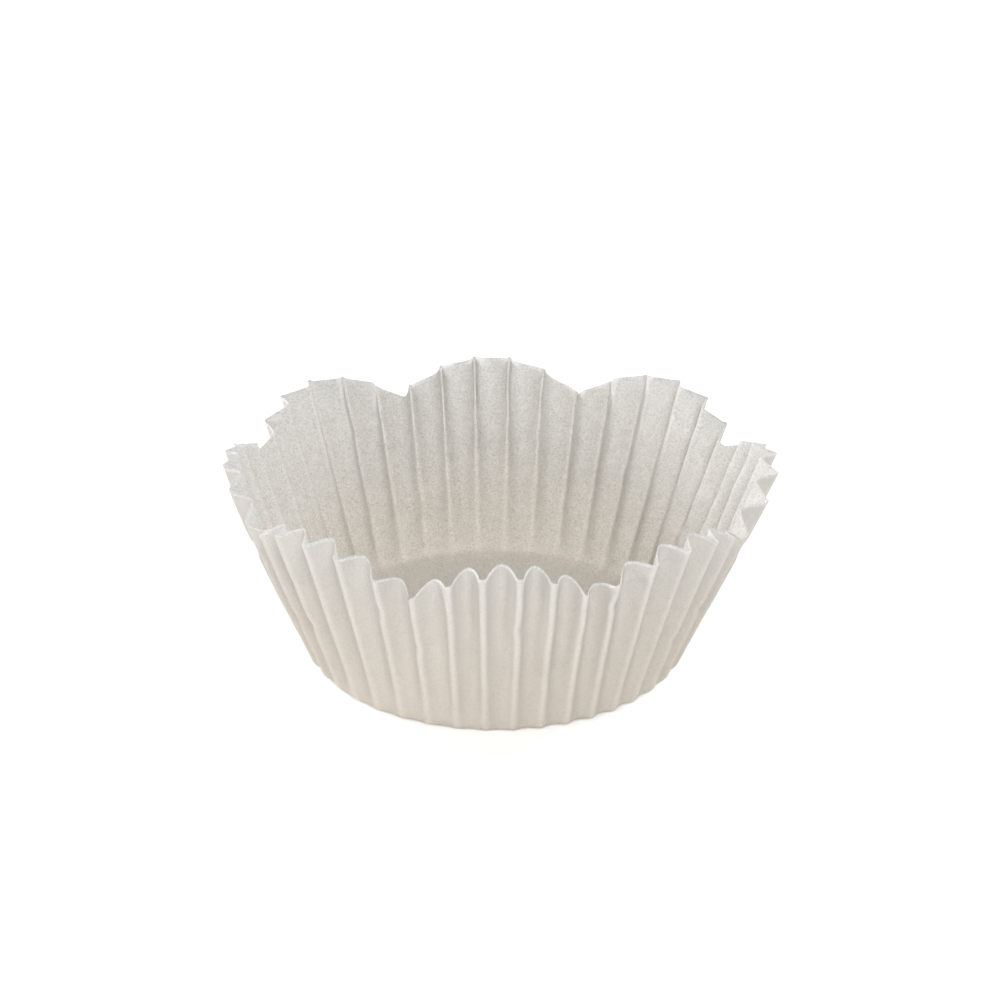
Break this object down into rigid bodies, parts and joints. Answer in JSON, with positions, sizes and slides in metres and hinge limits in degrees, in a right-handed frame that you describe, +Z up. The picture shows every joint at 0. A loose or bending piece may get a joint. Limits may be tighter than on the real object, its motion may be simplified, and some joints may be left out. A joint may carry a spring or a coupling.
{
  "type": "cupcake liner",
  "caption": "Fluted paper baking cup with a flat round floor, a flared pleated wall and a scalloped petal rim.",
  "frame": {"origin": "centre of the floor's underside", "axes": "+Z up out of the mouth, X the long way across the slightly oval rim, one petal centred near +Y"},
  "size_m": [0.0724, 0.0642, 0.0268],
  "materials": {
    "paper": "matt white greaseproof paper"
  },
  "bodies": {
    "root": {"liner": "paper"}
  },
  "joints": []
}
